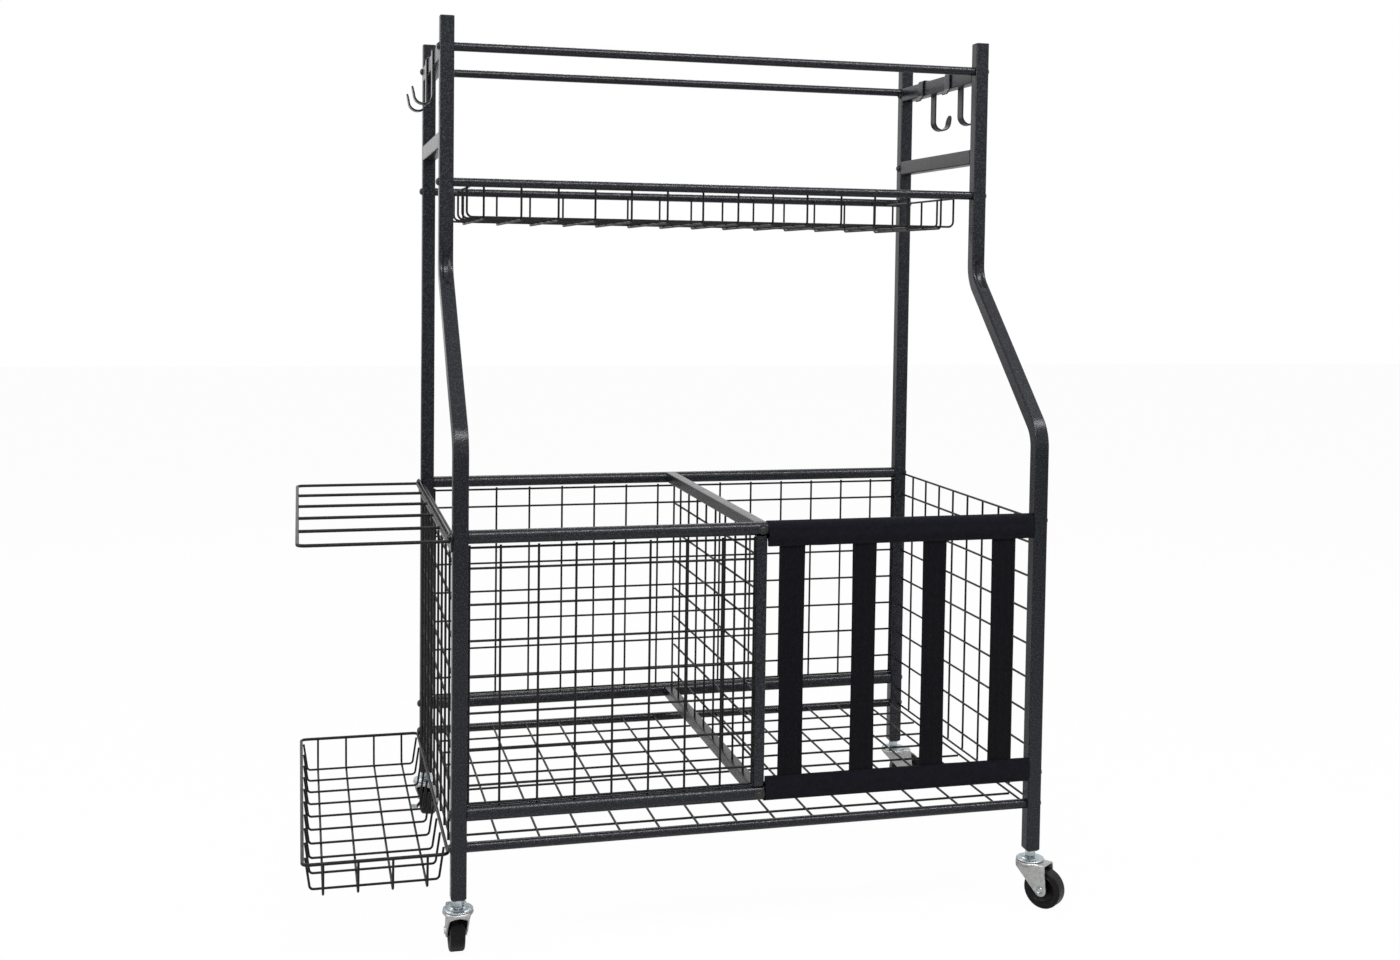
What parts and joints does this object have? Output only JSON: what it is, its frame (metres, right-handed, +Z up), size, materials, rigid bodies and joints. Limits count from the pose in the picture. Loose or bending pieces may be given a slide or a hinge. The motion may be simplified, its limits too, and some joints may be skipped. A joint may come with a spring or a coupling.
{
  "type": "equipment cart",
  "caption": "Rolling storage cart for sports gear: tube frame on casters with a divided wire basket, shelf, tray, side rack, side basket, elastic straps and hooks.",
  "frame": {"origin": "on the floor, under the centre of the cart's bounding box", "axes": "+X to the cart's right seen from the front, +Y to the rear, +Z up"},
  "size_m": [1.3166, 0.7746, 1.5393],
  "materials": {
    "frame_coat": "black hammertone powder coat, glossy, with a fine speckle",
    "wire_coat": "smooth black powder coat on welded wire",
    "cap_plastic": "satin black moulded plastic",
    "zinc_plate": "bright zinc-plated pressed steel",
    "wheel_rubber": "matte black rubber tread on a black hub",
    "strap_cloth": "matte black woven nylon and elastic webbing"
  },
  "bodies": {
    "frame": {"cap_left_front": "cap_plastic", "cap_left_rear": "cap_plastic", "cap_right_front": "cap_plastic", "cap_right_rear": "cap_plastic", "caster_left_front_stem": "zinc_plate", "caster_left_rear_stem": "zinc_plate", "caster_right_front_stem": "zinc_plate", "caster_right_rear_stem": "zinc_plate", "divider_bottom_bar": "frame_coat", "divider_grid": "wire_coat", "divider_post": "frame_coat", "divider_top_bar": "frame_coat", "front_grid": "wire_coat", "lower_rail_front": "frame_coat", "lower_rail_rear": "frame_coat", "mid_side_bar_left": "frame_coat", "mid_side_bar_right": "frame_coat", "post_left_front": "frame_coat", "post_left_rear": "frame_coat", "post_right_front": "frame_coat", "post_right_rear": "frame_coat", "rack_strip": "frame_coat", "rear_grid": "wire_coat", "shelf_grid": "wire_coat", "shelf_rail_front": "frame_coat", "shelf_rail_rear": "frame_coat", "side_basket": "wire_coat", "side_grid_left": "wire_coat", "side_grid_right": "wire_coat", "side_rack": "wire_coat", "sleeve_lower": "strap_cloth", "sleeve_upper": "strap_cloth", "strap_1": "strap_cloth", "strap_2": "strap_cloth", "strap_3": "strap_cloth", "strap_4": "strap_cloth", "top_bar_front": "frame_coat", "top_bar_rear": "frame_coat", "top_side_bar_left": "frame_coat", "top_side_bar_right": "frame_coat", "tray_basket": "wire_coat", "tray_rail_front": "frame_coat", "tray_rail_rear": "frame_coat", "upper_rail_front": "frame_coat", "upper_rail_rear": "frame_coat"},
    "left_front_fork": {"caster_left_front_fork": "zinc_plate"},
    "left_front_wheel": {"caster_left_front_wheel": "wheel_rubber"},
    "right_front_fork": {"caster_right_front_fork": "zinc_plate"},
    "right_front_wheel": {"caster_right_front_wheel": "wheel_rubber"},
    "left_rear_fork": {"caster_left_rear_fork": "zinc_plate"},
    "left_rear_wheel": {"caster_left_rear_wheel": "wheel_rubber"},
    "left_rear_brake": {"caster_left_rear_brake": "zinc_plate"},
    "right_rear_fork": {"caster_right_rear_fork": "zinc_plate"},
    "right_rear_wheel": {"caster_right_rear_wheel": "wheel_rubber"},
    "right_rear_brake": {"caster_right_rear_brake": "zinc_plate"},
    "left_rear_hook": {"hook_left_rear": "frame_coat"},
    "left_front_hook": {"hook_left_front": "frame_coat"},
    "right_rear_hook": {"hook_right_rear": "frame_coat"},
    "right_front_hook": {"hook_right_front": "frame_coat"}
  },
  "joints": [
    {"name": "left_front_swivel", "type": "hinge", "parent": "frame", "child": "left_front_fork", "pos_m": [-0.40526, -0.33129, 0], "axis": [0, 0, 1], "continuous": true},
    {"name": "left_front_roll", "type": "hinge", "parent": "left_front_fork", "child": "left_front_wheel", "pos_m": [-0.40526, -0.30279, 0.034], "axis": [-1, 0, 0], "continuous": true},
    {"name": "right_front_swivel", "type": "hinge", "parent": "frame", "child": "right_front_fork", "pos_m": [0.59474, -0.33129, 0], "axis": [0, 0, 1], "continuous": true},
    {"name": "right_front_roll", "type": "hinge", "parent": "right_front_fork", "child": "right_front_wheel", "pos_m": [0.61145, -0.35438, 0.034], "axis": [0.81, 0.5864, 0], "continuous": true},
    {"name": "left_rear_swivel", "type": "hinge", "parent": "frame", "child": "left_rear_fork", "pos_m": [-0.40526, 0.32371, 0], "axis": [0, 0, 1], "continuous": true},
    {"name": "left_rear_roll", "type": "hinge", "parent": "left_rear_fork", "child": "left_rear_wheel", "pos_m": [-0.39552, 0.35049, 0.034], "axis": [-0.9397, 0.342, 0], "continuous": true},
    {"name": "left_rear_brake_rock", "type": "hinge", "parent": "left_rear_fork", "child": "left_rear_brake", "pos_m": [-0.39552, 0.35049, 0.034], "axis": [-0.9397, 0.342, 0], "range_deg": [-12, 12]},
    {"name": "right_rear_swivel", "type": "hinge", "parent": "frame", "child": "right_rear_fork", "pos_m": [0.59474, 0.32371, 0], "axis": [0, 0, 1], "continuous": true},
    {"name": "right_rear_roll", "type": "hinge", "parent": "right_rear_fork", "child": "right_rear_wheel", "pos_m": [0.62296, 0.31974, 0.034], "axis": [0.1392, 0.9903, 0], "continuous": true},
    {"name": "right_rear_brake_rock", "type": "hinge", "parent": "right_rear_fork", "child": "right_rear_brake", "pos_m": [0.62296, 0.31974, 0.034], "axis": [0.1392, 0.9903, 0], "range_deg": [-12, 12]},
    {"name": "left_rear_hook_slide", "type": "slide", "parent": "frame", "child": "left_rear_hook", "axis": [0, 1, 0], "range_m": [-0.05, 0.05]},
    {"name": "left_front_hook_slide", "type": "slide", "parent": "frame", "child": "left_front_hook", "axis": [0, 1, 0], "range_m": [-0.05, 0.05]},
    {"name": "right_rear_hook_slide", "type": "slide", "parent": "frame", "child": "right_rear_hook", "axis": [0, 1, 0], "range_m": [-0.05, 0.05]},
    {"name": "right_front_hook_slide", "type": "slide", "parent": "frame", "child": "right_front_hook", "axis": [0, 1, 0], "range_m": [-0.05, 0.05]}
  ]
}
